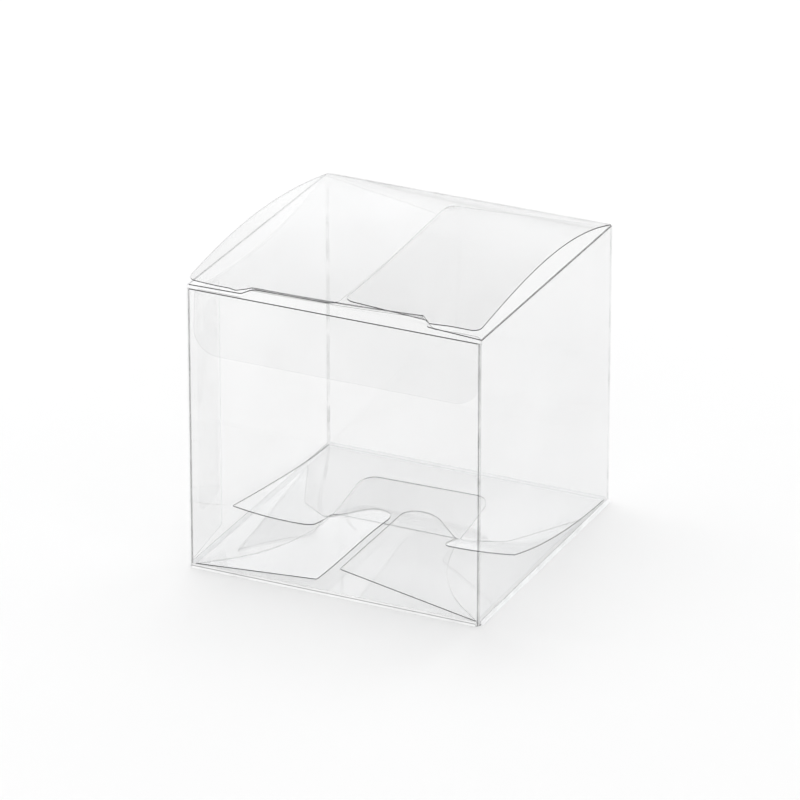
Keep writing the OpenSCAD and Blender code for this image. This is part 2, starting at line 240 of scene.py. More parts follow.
def math_node(tree, operation, a, b, clamp=False, c=None):
    made = node(tree, "ShaderNodeMath", operation=operation, use_clamp=clamp)
    for socket, value in zip(made.inputs, (a, b, c)):
        if value is None:
            continue
        if isinstance(value, (int, float)):
            socket.default_value = value
        else:
            tree.links.new(value, socket)
    return made.outputs[0]


def ramp(tree, factor, stops, easing="LINEAR"):
    """A grey level that follows factor through stops, pairs of a place and a level."""
    made = node(tree, "ShaderNodeValToRGB")
    made.color_ramp.interpolation = easing
    items = made.color_ramp.elements
    while len(items) < len(stops):
        items.new(0.5)
    for item, (place, level) in zip(items, stops):
        item.position = place
        item.color = (level, level, level, 1)
    tree.links.new(factor, made.inputs[0])
    return made.outputs[0]


def axes(tree, vector):
    """The three parts of a vector."""
    made = node(tree, "ShaderNodeSeparateXYZ")
    tree.links.new(vector, made.inputs[0])
    return made.outputs


def noise(tree, coordinates, scale, detail, stretch=None):
    if stretch is not None:
        mapping = node(tree, "ShaderNodeMapping")
        mapping.inputs["Scale"].default_value = stretch
        tree.links.new(coordinates, mapping.inputs["Vector"])
        coordinates = mapping.outputs["Vector"]
    made = node(tree, "ShaderNodeTexNoise")
    made.inputs["Scale"].default_value = scale
    made.inputs["Detail"].default_value = detail
    tree.links.new(coordinates, made.inputs["Vector"])
    return made.outputs["Fac"]


def film_material(name, clear=(0.988, 0.984, 0.9), mirror=0.045, power=5.0, rough=(0.0, 0.035), haze=0.01,
                  wave=0.3, cast=0.961, fade=None):
    """Clear film. clear is what each face lets through head on, aslant and at a glancing view,
    cast what it leaves of the light that goes on to the floor, and fade how much clearer or duller
    it is from left to right, as pairs of x in millimetres and a share."""
    mat = new_material(name)
    tree = mat.node_tree
    place = node(tree, "ShaderNodeTexCoord").outputs["Object"]
    broad = noise(tree, place, 38.0, 1.5)
    fine = noise(tree, place, 420.0, 3.0, (1.0, 1.0, 0.35))
    swell = math_node(tree, "ADD", broad, math_node(tree, "MULTIPLY", fine, WAVE_FINE))
    bump = node(tree, "ShaderNodeBump")
    bump.inputs["Strength"].default_value = wave
    bump.inputs["Distance"].default_value = WAVE_DEPTH
    tree.links.new(swell, bump.inputs["Height"])
    facing = node(tree, "ShaderNodeLayerWeight")
    facing.inputs["Blend"].default_value = 0.5
    view = facing.outputs["Facing"]
    # Light that glances off a panel still reaches the floor, so light on its way there meets a clearer film
    path = node(tree, "ShaderNodeLightPath")
    shade = math_node(tree, "MAXIMUM", path.outputs["Is Shadow Ray"], path.outputs["Is Diffuse Ray"])
    seen = math_node(tree, "SUBTRACT", 1.0, shade)
    growth = math_node(tree, "MULTIPLY_ADD", seen, power - FLOOR_POWER, c=FLOOR_POWER)
    steep = math_node(tree, "POWER", view, growth)
    share = math_node(tree, "ADD", math_node(tree, "MULTIPLY", steep, 1 - mirror),
                      math_node(tree, "MULTIPLY", seen, mirror), True)
    cloud = ramp(tree, noise(tree, place, 27.0, 2.0), [(0.3, 0.989), (0.7, 1.0)], "EASE")
    # Painted shade and light: fade makes the film duller or clearer across x, to match how bright each part
    # of a bottom panel looks
    if fade:
        across = math_node(tree, "MULTIPLY_ADD", axes(tree, place)["X"], 0.5 / (SIDE * MM), c=0.5)
        level = ramp(tree, across, [(0.5 + 0.5 * x / SIDE, part) for x, part in fade], "EASE")
        cloud = math_node(tree, "MULTIPLY", cloud, level)
    plain = ramp(tree, view, [(0.0, clear[0]), (0.6, clear[1]), (1.0, clear[2])])
    body = math_node(tree, "MULTIPLY", plain, cloud)
    lit = math_node(tree, "MAXIMUM", body, math_node(tree, "MULTIPLY", shade, cast))
    through = node(tree, "ShaderNodeBsdfTransparent")
    tree.links.new(lit, through.inputs["Color"])
    gloss = node(tree, "ShaderNodeBsdfPrincipled")
    gloss.inputs["Base Color"].default_value = GLOSS
    gloss.inputs["Metallic"].default_value = 1.0
    matt = ramp(tree, noise(tree, place, 90.0, 3.0), [(0.35, rough[0]), (0.7, rough[1])])
    tree.links.new(matt, gloss.inputs["Roughness"])
    tree.links.new(bump.outputs["Normal"], gloss.inputs["Normal"])
    mixed = node(tree, "ShaderNodeMixShader")
    tree.links.new(share, mixed.inputs[0])
    tree.links.new(through.outputs[0], mixed.inputs[1])
    tree.links.new(gloss.outputs[0], mixed.inputs[2])
    veil = node(tree, "ShaderNodeBsdfDiffuse")
    veil.inputs["Color"].default_value = VEIL
    fog = node(tree, "ShaderNodeMixShader")
    mist = ramp(tree, noise(tree, place, 160.0, 4.0), [(0.3, haze * 0.4), (0.75, haze)])
    tree.links.new(mist, fog.inputs[0])
    tree.links.new(mixed.outputs[0], fog.inputs[1])
    tree.links.new(veil.outputs[0], fog.inputs[2])
    out = node(tree, "ShaderNodeOutputMaterial")
    tree.links.new(fog.outputs[0], out.inputs["Surface"])
    return mat


def rim_material(name, dark, solid, rough):
    """The cut edge of the film, its grey a painted reflection of the darker parts of the room."""
    mat = new_material(name)
    tree = mat.node_tree
    place = node(tree, "ShaderNodeTexCoord").outputs["Object"]
    level = ramp(tree, noise(tree, place, 300.0, 2.0), [(0.3, dark * 0.8), (0.7, dark * 1.25)])
    body = node(tree, "ShaderNodeBsdfPrincipled")
    tree.links.new(level, body.inputs["Base Color"])
    body.inputs["Roughness"].default_value = rough
    body.inputs["IOR"].default_value = PLASTIC_IOR
    through = node(tree, "ShaderNodeBsdfTransparent")
    through.inputs["Color"].default_value = (0.9, 0.9, 0.9, 1)
    mixed = node(tree, "ShaderNodeMixShader")
    mixed.inputs[0].default_value = solid
    tree.links.new(through.outputs[0], mixed.inputs[1])
    tree.links.new(body.outputs[0], mixed.inputs[2])
    out = node(tree, "ShaderNodeOutputMaterial")
    tree.links.new(mixed.outputs[0], out.inputs["Surface"])
    return mat


def crease_material(name, head, edge, mirror=0.08, line=0.0):
    """Film bent tightly round a crease: less shows through it towards its edges.

    line is how much is lost in the sharp painted shade line along the middle of the bend."""
    mat = new_material(name)
    tree = mat.node_tree
    place = node(tree, "ShaderNodeTexCoord").outputs["Object"]
    facing = node(tree, "ShaderNodeLayerWeight")
    facing.inputs["Blend"].default_value = 0.5
    view = facing.outputs["Facing"]
    wear = ramp(tree, noise(tree, place, 250.0, 3.0), [(0.3, 0.85), (0.7, 1.0)])
    clear = math_node(tree, "MULTIPLY", ramp(tree, view, [(0.0, head), (1.0, edge)]), wear)
    if line:
        # Painted shade: a darker line where the bend's normal points partly along x
        turned = axes(tree, node(tree, "ShaderNodeTexCoord").outputs["Normal"])["X"]
        kept = 1.0 - line
        near = ramp(tree, turned, [(0.15, 1.0), (0.3, kept), (0.5, kept), (0.65, 1.0)], "EASE")
        clear = math_node(tree, "MULTIPLY", clear, near)
    through = node(tree, "ShaderNodeBsdfTransparent")
    tree.links.new(clear, through.inputs["Color"])
    gloss = node(tree, "ShaderNodeBsdfPrincipled")
    gloss.inputs["Base Color"].default_value = GLOSS
    gloss.inputs["Metallic"].default_value = 1.0
    gloss.inputs["Roughness"].default_value = 0.12
    fifth = math_node(tree, "POWER", view, 5.0)
    share = math_node(tree, "ADD", math_node(tree, "MULTIPLY", fifth, 1 - mirror), mirror, True)
    mixed = node(tree, "ShaderNodeMixShader")
    tree.links.new(share, mixed.inputs[0])
    tree.links.new(through.outputs[0], mixed.inputs[1])
    tree.links.new(gloss.outputs[0], mixed.inputs[2])
    out = node(tree, "ShaderNodeOutputMaterial")
    tree.links.new(mixed.outputs[0], out.inputs["Surface"])
    return mat


def wall_material(name, film, level, top=None):
    """Film whose cut top edge is painted a grey level, as painted light and shade.

    Where top, a height in metres, is given, the rounding just under it has that level too."""
    mat = film.copy()
    mat.name = name
    tree = mat.node_tree
    out = next(n for n in tree.nodes if n.type == "OUTPUT_MATERIAL")
    surface = out.inputs["Surface"].links[0].from_socket
    place = node(tree, "ShaderNodeTexCoord")
    cut = math_node(tree, "GREATER_THAN", axes(tree, place.outputs["Normal"])["Z"], 0.7)
    if top is not None:
        top_band_mask = math_node(tree, "GREATER_THAN", axes(tree, place.outputs["Object"])["Z"], top - TOP_SHADE_BAND)
        cut = math_node(tree, "MAXIMUM", cut, top_band_mask)
    body = node(tree, "ShaderNodeBsdfPrincipled")
    body.inputs["Base Color"].default_value = (level, level, level * 1.02, 1)
    body.inputs["Roughness"].default_value = 0.3
    mixed = node(tree, "ShaderNodeMixShader")
    tree.links.new(cut, mixed.inputs[0])
    tree.links.new(surface, mixed.inputs[1])
    tree.links.new(body.outputs[0], mixed.inputs[2])
    tree.links.new(mixed.outputs[0], out.inputs["Surface"])
    return mat


def fold_material(name, white=0.8, line=False):
    """Film whitened where it is folded round: partly the film's own whitening, partly a painted highlight. It
    also glows faintly, painted light in place of the light that the film carries to it.

    With line, a painted shade line runs along it, and the film above that is less white."""
    mat = new_material(name)
    tree = mat.node_tree
    place = node(tree, "ShaderNodeTexCoord").outputs["Object"]
    body = node(tree, "ShaderNodeBsdfPrincipled")
    body.inputs["Base Color"].default_value = (FOLD_WHITE_AND_HIGHLIGHT, 0.935, 0.94, 1)
    body.inputs["Roughness"].default_value = 0.3
    body.inputs["IOR"].default_value = PLASTIC_IOR
    # Painted light: the fold glows faintly though it is no lamp
    body.inputs["Emission Color"].default_value = (1, 1, 1, 1)
    body.inputs["Emission Strength"].default_value = FOLD_GLOW
    through = node(tree, "ShaderNodeBsdfTransparent")
    through.inputs["Color"].default_value = (0.99, 0.99, 0.99, 1)
    amount = ramp(tree, noise(tree, place, 120.0, 3.0), [(0.3, white * 0.75), (0.7, white * 1.2)])
    if line:
        # Painted shade: a dark line along the fold's top, set by height
        rise = math_node(tree, "MULTIPLY", axes(tree, place)["Z"], 1 / MM)
        level = ramp(tree, rise, list(zip(SHADE_LINE_RISE, (FOLD_WHITE_AND_HIGHLIGHT, 0.01, 0.01, FOLD_WHITE_AND_HIGHLIGHT))))
        tree.links.new(level, body.inputs["Base Color"])
        strength = ramp(tree, rise, list(zip(SHADE_LINE_RISE, (1.0, 1.15, 1.15, 0.6))))
        amount = math_node(tree, "MULTIPLY", amount, strength)
    mixed = node(tree, "ShaderNodeMixShader")
    tree.links.new(amount, mixed.inputs[0])
    tree.links.new(through.outputs[0], mixed.inputs[1])
    tree.links.new(body.outputs[0], mixed.inputs[2])
    out = node(tree, "ShaderNodeOutputMaterial")
    tree.links.new(mixed.outputs[0], out.inputs["Surface"])
    return mat


# Copies of one clear film, each piece made duller or clearer to match how bright it looks: painted shade and
# light, not a difference in the film
film = film_material("clear film")
seam_film = film_material("seam film", (0.999, 0.9985, 0.98), mirror=0.02, power=6.5)
lid_look = film_material("lid film", (0.957, 0.951, 0.945), mirror=0.012, power=6.2, cast=0.985)
dust_film = film_material("dust film", cast=1.0)
right_dust_look = film_material("right dust film", (0.98, 0.977, 0.9), mirror=0.02, power=6.5, cast=1.0)
floor_film = film_material("floor film", (0.999, 0.998, 0.97), mirror=0.08, power=4.1, cast=1.0,
                           fade=[(-26, 1.0), (-14, 0.99), (-8, 0.99), (3, 1.0)])
right_flap_look = film_material("right flap film", (0.988, 0.986, 0.955), mirror=0.08, power=4.1, cast=1.0,
                                fade=[(8, 0.97), (21, 0.98), (30, 1.0)])
notch_film = film_material("notched film", (0.976, 0.972, 0.94), mirror=0.05, power=4.3, cast=1.0,
                           fade=[(0, 0.985), (22, 1.02)])
# Painted shade on the top edges of the front and right walls, painted light on those of the back and left
# walls
right_film = wall_material("right wall film", film, level=0.05)
back_film = wall_material("back wall film", film, level=0.9)
front_film = wall_material("front wall film", film, level=0.02, top=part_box("front_wall")[1][2])
seam_wall = wall_material("seam wall", seam_film, level=0.75)
glue_look = film_material("clear glue", (0.999, 0.998, 0.97), mirror=0.0, power=6.0, rough=(0.2, 0.35),
                          haze=0.008, wave=0.1, cast=1.0)
# Lit and shaded copies of one cut edge, each edge given one by the way it faces: painted light and shade
dark_rim = rim_material("dark cut edge", dark=0.01, solid=1.0, rough=0.6)
rim = rim_material("cut edge", dark=0.12, solid=0.8, rough=0.4)
soft_rim = rim_material("soft cut edge", dark=0.4, solid=0.4, rough=0.3)
clear_rim = rim_material("clear cut edge", dark=0.9, solid=0.12, rough=0.3)
# Copies of one crease look, each made darker or clearer to match how dark that crease looks: painted shade
crease = crease_material("crease", head=0.9, edge=0.6)
seam_fold = crease_material("left front crease", head=0.87, edge=0.62, mirror=0.05)
fold = crease_material("right front crease", head=0.97, edge=0.93, mirror=0.05, line=0.35)
soft_fold = crease_material("rear crease", head=1.0, edge=0.985, mirror=0.01)
soft_crease = crease_material("top crease", head=0.985, edge=0.95, mirror=0.03)
mid_crease = crease_material("side crease", head=0.75, edge=0.45, mirror=0.05)
# Folds with a painted highlight and a painted glow; one also carries a painted shade line
highlit_white_fold = fold_material("whitened fold with painted highlight")
highlit_shade_line_fold = fold_material("fold with painted highlight and shade line", line=True)
faint_highlit_fold = fold_material("faintly whitened fold with painted highlight", white=0.65)


# The box's own nodes that stay

def dress(name, look):
    """Give one of the box's own nodes its look."""
    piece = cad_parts[name]
    piece.data.materials.clear()
    piece.data.materials.append(look)


dress("right_wall", right_film)
dress("back_wall", back_film)
dress("front_wall", front_film)
dress("left_wall", seam_wall)
dress("front_left_crease", seam_fold)
dress("front_right_crease", fold)
for name in ("back_right_crease", "back_left_crease"):
    dress(name, soft_fold)
dress("right_dust_crease", mid_crease)
for name in ("lid_crease", "left_dust_crease"):
    dress(name, soft_crease)
dress("glue_line", glue_look)


def add(piece, body, *nodes):
    """A film piece that rides on body in place of the named nodes."""
    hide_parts(*nodes)
    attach(piece, body)


# Glue flap

GLUE_T = 0.1
GLUE_FRONT = -37.4
GLUE_BACK = -21.5
GLUE_FOOT = 1.6
GLUE_HEAD = 70.8
GLUE_TAPER = 2.5


def glue_place(u, v):
    return -SIDE + FILM + GLUE_T + FILM / 2 + 0 * u, u, v


def glue_edge(back, up):
    # Painted highlight: the flap's free rear edge gets the white fold look
    return highlit_white_fold if back > 0.9 else clear_rim


glue_outline = rounded([
    (GLUE_FRONT, GLUE_FOOT), (GLUE_BACK, GLUE_FOOT + GLUE_TAPER),
    (GLUE_BACK, GLUE_HEAD - GLUE_TAPER), (GLUE_FRONT, GLUE_HEAD),
], [0, 1.2, 1.2, 0])
add(sheet("glue_flap_film", glue_outline, glue_place, seam_film, glue_edge, 3.0), "sleeve", "glue_flap")


# Lid: a curve in the YZ plane, steep at the back and flatter towards the tuck crease

LID_HALF = 37.5
REAR_PULL, REAR_RISE = 28, math.radians(18)
FRONT_PULL, FRONT_RISE = 22, math.radians(7.5)
LID_CURVE = np.array([
    [LID_HINGE_Y, TOP],
    [LID_HINGE_Y - REAR_PULL * math.cos(REAR_RISE), TOP + REAR_PULL * math.sin(REAR_RISE)],
    [TUCK_Y + FRONT_PULL * math.cos(FRONT_RISE), TUCK_Z + FRONT_PULL * math.sin(FRONT_RISE)],
    [TUCK_Y, TUCK_Z],
])
# The lid's front hangs lower by SAG up to SAG_X, and from there less and less over SAG_RUN
SAG = 1.6
SAG_X = -22.0
SAG_RUN = 52.0
# The free corner springs up by SPRING over a short run, and curls up by CURL over a longer one
SPRING, SPRING_RUN = 0.7, 5.0
CURL, CURL_X, CURL_RUN = 0.3, -30.0, 7.5
# The left half is flatter by FLAT at most, 6.75 being what brings s * (1 - s) ** 2 to 1 at its highest
FLAT, FLAT_X, FLAT_RUN = 1.3, 30.0, 67.5
FLAT_PEAK = 6.75


def lid_height(y):
    """The lid's even curve. In front of the tuck crease the shoulders go on straight."""
    t = np.linspace(0, 1, 400)[:, None]
    curve = ((1 - t) ** 3 * LID_CURVE[0] + 3 * (1 - t) ** 2 * t * LID_CURVE[1]
             + 3 * (1 - t) * t ** 2 * LID_CURVE[2] + t ** 3 * LID_CURVE[3])
    inside = np.interp(y, curve[::-1, 0], curve[::-1, 1])
    front = LID_CURVE[2] - LID_CURVE[3]
    return np.where(y < TUCK_Y, TUCK_Z + (y - TUCK_Y) * front[1] / front[0], inside)


def sag(x):
    """How far the lid's front hangs lower towards its left end."""
    return SAG * (1 - np.clip((x - SAG_X) / SAG_RUN, 0, 1) ** 2)


def lid_drop(x, share):
    """How far the lid lies below its even curve: its free front corner on the left springs up a little,
    while its left half is flatter midway."""
    corner = SPRING * smooth((SAG_X - x) / SPRING_RUN) + CURL * np.clip((CURL_X - x) / CURL_RUN, 0, 1)
    flat = FLAT * np.clip((FLAT_X - x) / FLAT_RUN, 0, 1) ** 1.5
    return (sag(x) - corner) * share ** 2.4 + flat * FLAT_PEAK * share * (1 - share) ** 2


def lid_place(x, y):
    share = np.clip((LID_HINGE_Y - y) / (LID_HINGE_Y - TUCK_Y), 0, None)
    return x, y, lid_height(y) - lid_drop(x, share)


def lid_edge(right, back):
    # Painted light and shade: edges facing left get the lighter edge, those facing front or right the dark
    # one
    if back > 0.5:
        return clear_rim
    return dark_rim if back < -0.4 or right > 0.3 else soft_rim


SHOULDER_Y = TUCK_Y - SHOULDER_D
lid_outline = rounded([
    (-LID_HALF, LID_HINGE_Y - SWING_R), (-LID_HALF, SHOULDER_Y), (-SLIT_X - SLIT_JOG, SHOULDER_Y),
    (-SLIT_X, TUCK_Y + BEAD_R), (SLIT_X, TUCK_Y + BEAD_R), (SLIT_X + SLIT_JOG, SHOULDER_Y),
    (LID_HALF, SHOULDER_Y), (LID_HALF, LID_HINGE_Y - SWING_R),
], [0, 2.0, 0.6, 0.5, 0.5, 0.6, 2.0, 0])
add(sheet("lid_film", lid_outline, lid_place, lid_look, lid_edge, 1.5), "lid", "lid_panel")


def bead(name, points, r, look, sides):
    """A round bead along points, in millimetres."""
    points = np.array(points, float)
    along = np.gradient(points, axis=0)
    along /= np.linalg.norm(along, axis=1)[:, None]
    side = np.cross(along, (0, 0, 1))
    side /= np.linalg.norm(side, axis=1)[:, None]
    lift = np.cross(side, along)
    turn = np.arange(sides) * 2 * math.pi / sides
    rings = (points[:, None] + r * np.cos(turn)[None, :, None] * side[:, None]
             + r * np.sin(turn)[None, :, None] * lift[:, None])
    count = len(points)
    faces = []
    for low in range(0, (count - 1) * sides, sides):
        high = low + sides
        faces += [(low + j, low + (j + 1) % sides, high + (j + 1) % sides, high + j) for j in range(sides)]
    faces += [tuple(range(sides))[::-1], tuple(range((count - 1) * sides, count * sides))]
    mesh = bpy.data.meshes.new(name)
    mesh.from_pydata((rings.reshape(-1, 3) * MM).tolist(), [], faces)
    mesh.materials.append(look)
    mesh.polygons.foreach_set("use_smooth", np.ones(len(faces), bool))
    piece = bpy.data.objects.new(name, mesh)
    bpy.context.scene.collection.objects.link(piece)
    return piece


tuck_line = [(x, TUCK_Y, TUCK_Z - float(sag(x))) for x in np.linspace(-SLIT_X, SLIT_X, 45)]
tuck_fold = bead("tuck_fold_film", tuck_line, BEAD_R, crease, 10)
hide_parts("tuck_crease")
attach(tuck_fold, "lid")


# Tuck flap, leaning forward with a slight bow

TUCK_HALF = 37.05
TUCK_DEPTH = 20.4
TUCK_LEAN = math.radians(3.4)
TUCK_BOW, TUCK_BOW_HALF = 0.35, 37.0
TUCK_SHOULDER = -SHOULDER_D - 0.2


def tuck_place(x, s):
    """s counts up the flap from its crease, so it is negative below that."""
    bow = TUCK_BOW * (1 - (x / TUCK_BOW_HALF) ** 2) * np.sin(np.clip(-s / TUCK_DEPTH, 0, 1) * math.pi)
    height = TUCK_Z - sag(x) * smooth(1 + s / TUCK_DEPTH)
    y = TUCK_Y + s * math.sin(TUCK_LEAN) + bow * math.cos(TUCK_LEAN)
    return x, y, height + s * math.cos(TUCK_LEAN) + bow * math.sin(TUCK_LEAN)


def tuck_edge(right, up):
    return rim if up > 0.4 else clear_rim


# The top edge starts lower where the crease hangs lower, so that the flap clears the lid as it folds in
tuck_outline = rounded([
    (-SLIT_X, -0.65), (-SLIT_X - SLIT_JOG, TUCK_SHOULDER), (-TUCK_HALF, TUCK_SHOULDER),
    (-TUCK_HALF, -TUCK_DEPTH), (TUCK_HALF, -TUCK_DEPTH),
    (TUCK_HALF, TUCK_SHOULDER), (SLIT_X + SLIT_JOG, TUCK_SHOULDER), (SLIT_X, -0.4),
], [0.4, 0.6, 1.5, 6.5, 6.5, 1.5, 0.6, 0.4], 10)
add(sheet("tuck_film", tuck_outline, tuck_place, film, tuck_edge, 2.0), "tuck", "tuck_flap")


# Dust flaps. p counts inwards from the side wall's outside

DUST_ROOT = BEAD_R + SWING_R
DUST_REACH = 37.0
DUST_FRONT = -37.0
DUST_CUT = -33.7
DUST_SLOPE = 24.5
DUST_BACK = 36.4
DUST_OUTLINE = rounded([
    (DUST_ROOT, DUST_FRONT), (14.0, DUST_FRONT), (15.5, DUST_CUT), (DUST_REACH, DUST_CUT),
    (DUST_REACH, DUST_SLOPE), (DUST_ROOT, DUST_BACK),
], [0, 1.0, 1.5, 2.5, 3.5, 0])


def left_dust_place(p, y):
    """Nearly level, with the inner rear corner a little higher."""
    rise = math.tan(math.radians(0.7)) * (p - BEAD_R)
    return -SIDE + p, y, TOP + rise + 0.25 * smooth(p / DUST_REACH) * smooth((y - 5) / 25)


def right_dust_place(p, y):
    """Tilted up, more so towards the back."""
    tilt = 3.1 + 2.5 * smooth((y + 20) / 45)
    return SIDE - p, y, TOP + np.tan(np.radians(tilt)) * (p - BEAD_R)


def left_dust_edge(inward, back):
    return dark_rim if back < -0.4 else clear_rim


def right_dust_edge(inward, back):
    # Painted light and shade: the inner edges, facing left, get the lighter edge, the front one the dark one
    if inward < -0.9 or back > 0.8:
        return clear_rim
    return dark_rim if back < -0.4 else soft_rim


for side, place, look, edge in (("left", left_dust_place, dust_film, left_dust_edge),
                                ("right", right_dust_place, right_dust_look, right_dust_edge)):
    piece = sheet(f"{side}_dust_film", DUST_OUTLINE, place, look, edge, STEP)
    add(piece, f"{side}_dust", f"{side}_dust_flap")


# Bottom: each wall turns in at its foot round a fold, whitened and given a painted highlight

FOLD_H = 1.1
FOLD_Z = 0.03
FOLD_HALF = 37.2
FOLD_T = 0.1
# How far inward of the wall's inner face a fold's top is, and how much further its foot
INSIDE = 0.14, 0.3
OUTSIDE = -FILM - 0.1, -0.4


def fold_strip(name, place, crease_node, look, lean, upper_edge):
    """The turned foot of a wall. place(u, inward, z) sets a point of it, and lean is INSIDE or OUTSIDE."""
    start, flare = lean

    def lay(u, v):
        return place(u, start + flare * (v / FOLD_H) ** 3, FOLD_Z + FOLD_H - v)

    def edge(right, down):
        return upper_edge if down < -0.9 else clear_rim

    outline = [(-FOLD_HALF, 0), (FOLD_HALF, 0), (FOLD_HALF, FOLD_H), (-FOLD_HALF, FOLD_H)]
    piece = sheet(name, outline, lay, look, edge, 0.5, FOLD_T)
    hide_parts(crease_node)
    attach(piece, "sleeve")


fold_strip("front_foot_fold", lambda u, inward, z: (u, -WALL_IN + inward, z), "bottom_front_crease",
           highlit_shade_line_fold, OUTSIDE, clear_rim)
fold_strip("back_foot_fold", lambda u, inward, z: (u, WALL_IN - inward, z), "bottom_back_crease",
           highlit_white_fold, INSIDE, soft_rim)
fold_strip("left_foot_fold", lambda u, inward, z: (-WALL_IN + inward, u, z), "bottom_left_crease",
           highlit_white_fold, INSIDE, rim)
fold_strip("right_foot_fold", lambda u, inward, z: (WALL_IN - inward, u, z), "bottom_right_crease",
           faint_highlit_fold, OUTSIDE, soft_rim)


# Bottom: the tongue panel rises into the notch

def bent(run, slope, start, stop, r):
    """Height after run along a slope that is bent up to radius r between start and stop."""
    bend = np.clip(np.minimum(run, stop) - start, 0, None)
    return slope * run + bend * bend / (2 * r) + np.clip(run - stop, 0, None) * bend / r


TONGUE_HALF = 17.0
TONGUE_Z = 0.2
TONGUE_SLOPE = 0.072
TONGUE_BEND = 31.75, 43.75, 100.0


def tongue_place(x, y):
    """The panel's plane, bent up at the tongue, which is lifted a little and twisted to the right."""
    run = y + WALL_IN
    lift = 0.35 * smooth((run - 18) / 18) + 0.3 * smooth((run - 22) / 14) * (x / TONGUE_HALF)
    return x, y, TONGUE_Z + bent(run, TONGUE_SLOPE, *TONGUE_BEND) + lift


def tongue_outline():
    """The panel narrows along two arcs to the tongue, whose end has round corners."""
    root, end, half, r = -2.0, 15.0, TONGUE_HALF, 4.0
    start = (32.6, -33.0)
    rise = root - start[1]
    spread = start[0] - half
    side_r = (rise * rise + spread * spread) / (2 * spread)
    sweep = math.degrees(math.asin(rise / side_r))
    right = ([(37.0, -WALL_IN + FOLD_H)] + arc(half + side_r, root, side_r, 180 + sweep, 180, 24)
             + arc(half - r, end - r, r, 0, 90, 8))
    return right + mirrored(right)


def tongue_edge(right, back):
    if back < -0.9:
        return clear_rim
    return rim if back > 0.5 else soft_rim


add(sheet("tongue_film", tongue_outline(), tongue_place, floor_film, tongue_edge, STEP),
    "bottom_front", "bottom_front_panel")


# Bottom: the notched back panel, whose legs curl up towards their tips

BACK_SLOPE = 0.04506
BACK_Z = 0.75
LEG_OUT = 37.2
LEG_IN = 17.5
NOTCH_Y = -1.7
LEG_TIP_IN = -13.5
LEG_TIP_OUT = -16.3


def back_place(x, y):
    """The panel's plane, from which both legs curl up towards the front, the right one more."""
    run = WALL_IN - y
    out = np.clip((np.abs(x) - LEG_IN) / (LEG_OUT - LEG_IN), 0, 1)
    inner = np.clip((NOTCH_Y - y) / (NOTCH_Y - LEG_TIP_IN), 0, 1)
    left_side = np.clip((28.0 - y) / 44.0, 0, 1) ** 1.3
    right_side = np.clip((34.0 - y) / 50.5, 0, 1) ** 2.2
    left = 1.35 * inner ** 2 * (1 - out ** 2) + 3.6 * left_side * out ** 2
    right = 3.3 * inner * (2 - inner) * (1 - out ** 1.3) + 5.9 * right_side * out ** 1.3
    return x, y, BACK_Z + BACK_SLOPE * run + np.where(x > 0, right, left)


def back_outline():
    right = [(LEG_OUT, WALL_IN - FOLD_H), (LEG_OUT, LEG_TIP_OUT), (LEG_IN, LEG_TIP_IN), (LEG_IN, NOTCH_Y)]
    return rounded(right + mirrored(right), [0, 0.3, 1.6, 2.0, 2.0, 2.4, 0.3, 0])


def back_edge(right, back):
    return clear_rim if back > 0.9 else dark_rim


add(sheet("notched_film", back_outline(), back_place, notch_film, back_edge, STEP),
    "bottom_back", "bottom_back_panel")


# Bottom: side flaps. p counts inwards from the side wall's outside

FLAP_Z = 0.55


def flap_outline(tip):
    """A straight front edge that ends at tip, and a round hook at the inner end of the rear edge."""
    hook = (31.0, -4.0)
    r = 5.4
    valley = (20.5, -5.7)
    reach = math.dist(hook, valley)
    lean = math.degrees(math.atan2(hook[1] - valley[1], hook[0] - valley[0]))
    touch = lean + 180 - math.degrees(math.acos(r / reach))
    top = arc(hook[0], hook[1], r, 0, touch, 12)
    near = FILM + FOLD_H
    front = -37.0
    raw = [(near, front), (tip, front)] + top + [valley, (11.0, 2.0), (near, 24.0)]
    radii = [0, 0.4] + [0] * len(top) + [2.5, 6.0, 0]
    return rounded(raw, radii)


def left_flap_place(p, y):
    slope = 0.076 + 0.05 * smooth((y + 37) / 30)
    return -SIDE + p, y, FLAP_Z + slope * (p - FILM)


def right_flap_place(p, y):
    slope = 0.177
    return SIDE - p, y, FLAP_Z + slope * (p - FILM)


def flap_edge(inward, back):
    if inward < -0.9:
        return clear_rim
    return dark_rim if back < -0.9 or inward > 0.9 else rim


for side, tip, place, look in (("left", 33.3, left_flap_place, floor_film),
                               ("right", 36.6, right_flap_place, right_flap_look)):
    piece = sheet(f"{side}_flap_film", flap_outline(tip), place, look, flap_edge, STEP)
    add(piece, f"bottom_{side}", f"bottom_{side}_flap")


# Floor, light and camera

FLOOR_HALF = 8.0
FLOOR_Z = -0.00003
# How bright the room is from straight below (0) to straight above (1)
ROOM = [(0.0, 0.95), (0.5, 1.05), (0.6, 1.12), (0.66, 1.28),
        (0.77, 1.28), (0.85, 0.85), (0.93, 0.68), (1.0, 0.65)]
WINDOW_WAY = (-0.49, 0.81, 0.32)
WINDOW = [(0.93, 0.0), (0.988, 0.25)]
LAMP_PLACE = (-0.62, 0.72, 2.2)
LAMP_SIZE = (3.0, 1.0)
LAMP_POWER = 20.0
# The camera, with lengths as shares of the box's width and its focal length in pixels of an 800-pixel frame
WIDE = 0.076
AZIMUTH = math.radians(25.26)
ELEVATION = math.radians(24.52)
DISTANCE = 21.214
WALL_SHARE = 0.9585
MOVE_LEFT = 0.0044
MOVE_DOWN = 0.0133
FOCAL = 6755
FRAME = 800
SENSOR = 36


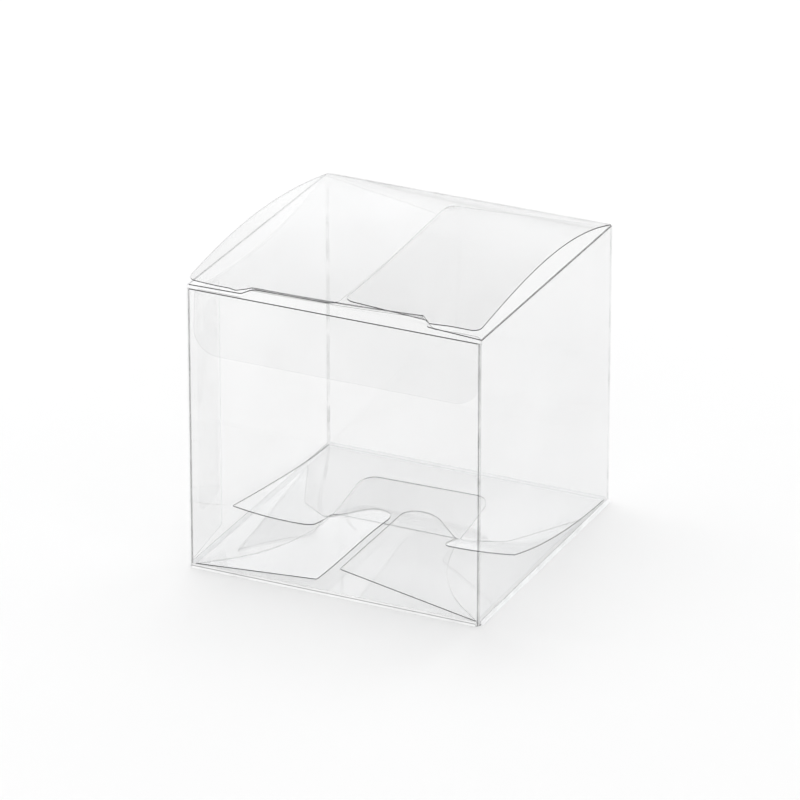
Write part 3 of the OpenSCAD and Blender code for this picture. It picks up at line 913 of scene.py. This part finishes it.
def floor_material():
    mat = new_material("pale floor")
    tree = mat.node_tree
    place = node(tree, "ShaderNodeTexCoord").outputs["Object"]
    body = node(tree, "ShaderNodeBsdfDiffuse")
    tree.links.new(ramp(tree, noise(tree, place, 3.0, 2.0), [(0.3, 0.9), (0.7, 0.905)]), body.inputs["Color"])
    out = node(tree, "ShaderNodeOutputMaterial")
    tree.links.new(body.outputs[0], out.inputs["Surface"])
    return mat


def make_floor():
    mesh = bpy.data.meshes.new("floor")
    s = FLOOR_HALF
    mesh.from_pydata([(-s, -s, 0), (s, -s, 0), (s, s, 0), (-s, s, 0)], [], [(0, 1, 2, 3)])
    mesh.materials.append(floor_material())
    piece = bpy.data.objects.new("floor", mesh)
    bpy.context.scene.collection.objects.link(piece)
    piece.location.z = FLOOR_Z


def make_world():
    world = bpy.data.worlds.new("studio")
    world.use_nodes = True
    tree = world.node_tree
    tree.nodes.clear()
    way = node(tree, "ShaderNodeTexCoord").outputs["Generated"]
    height = ramp(tree, math_node(tree, "MULTIPLY_ADD", axes(tree, way)["Z"], 0.5, c=0.5), ROOM)
    band = ramp(tree, noise(tree, way, 1.3, 1.0), [(0.35, 0.85), (0.65, 1.0)], "EASE")
    level = math_node(tree, "MULTIPLY", height, band)
    # A bright window low behind the box, to its left
    toward = node(tree, "ShaderNodeVectorMath", operation="DOT_PRODUCT")
    toward.inputs[1].default_value = WINDOW_WAY
    tree.links.new(way, toward.inputs[0])
    window = ramp(tree, toward.outputs["Value"], WINDOW, "EASE")
    level = math_node(tree, "ADD", level, window)
    shine = node(tree, "ShaderNodeBackground")
    tree.links.new(level, shine.inputs["Color"])
    shine.inputs["Strength"].default_value = 1.0
    out = node(tree, "ShaderNodeOutputWorld")
    tree.links.new(shine.outputs[0], out.inputs["Surface"])
    bpy.context.scene.world = world


def make_lamp():
    lamp = bpy.data.lights.new("key", "AREA")
    lamp.shape = "RECTANGLE"
    lamp.size, lamp.size_y = LAMP_SIZE
    lamp.energy = LAMP_POWER
    piece = bpy.data.objects.new("key", lamp)
    piece.location = LAMP_PLACE
    piece.rotation_mode = "QUATERNION"
    piece.rotation_quaternion = (-Vector(LAMP_PLACE)).to_track_quat("-Z", "Y")
    bpy.context.scene.collection.objects.link(piece)


def make_camera():
    a, e = AZIMUTH, ELEVATION
    back = Vector((math.sin(a) * math.cos(e), -math.cos(a) * math.cos(e), math.sin(e)))
    right = Vector((math.cos(a), math.sin(a), 0))
    up = back.cross(right)
    lens = bpy.data.cameras.new("camera")
    lens.sensor_width = SENSOR
    lens.lens = FOCAL / FRAME * SENSOR
    lens.clip_start, lens.clip_end = 0.05, 50
    piece = bpy.data.objects.new("camera", lens)
    piece.location = (Vector((0, 0, WALL_SHARE * WIDE / 2)) + back * DISTANCE * WIDE
                      - right * MOVE_LEFT * WIDE - up * MOVE_DOWN * WIDE)
    piece.rotation_mode = "QUATERNION"
    piece.rotation_quaternion = (-back).to_track_quat("-Z", "Y")
    bpy.context.scene.collection.objects.link(piece)
    bpy.context.scene.camera = piece


make_floor()
make_world()
make_lamp()
make_camera()

scene = bpy.context.scene
scene.view_settings.view_transform = "Standard"
scene.cycles.max_bounces = 16
scene.cycles.glossy_bounces = 12
scene.cycles.transparent_max_bounces = 64
scene.cycles.caustics_reflective = True
scene.cycles.caustics_refractive = False
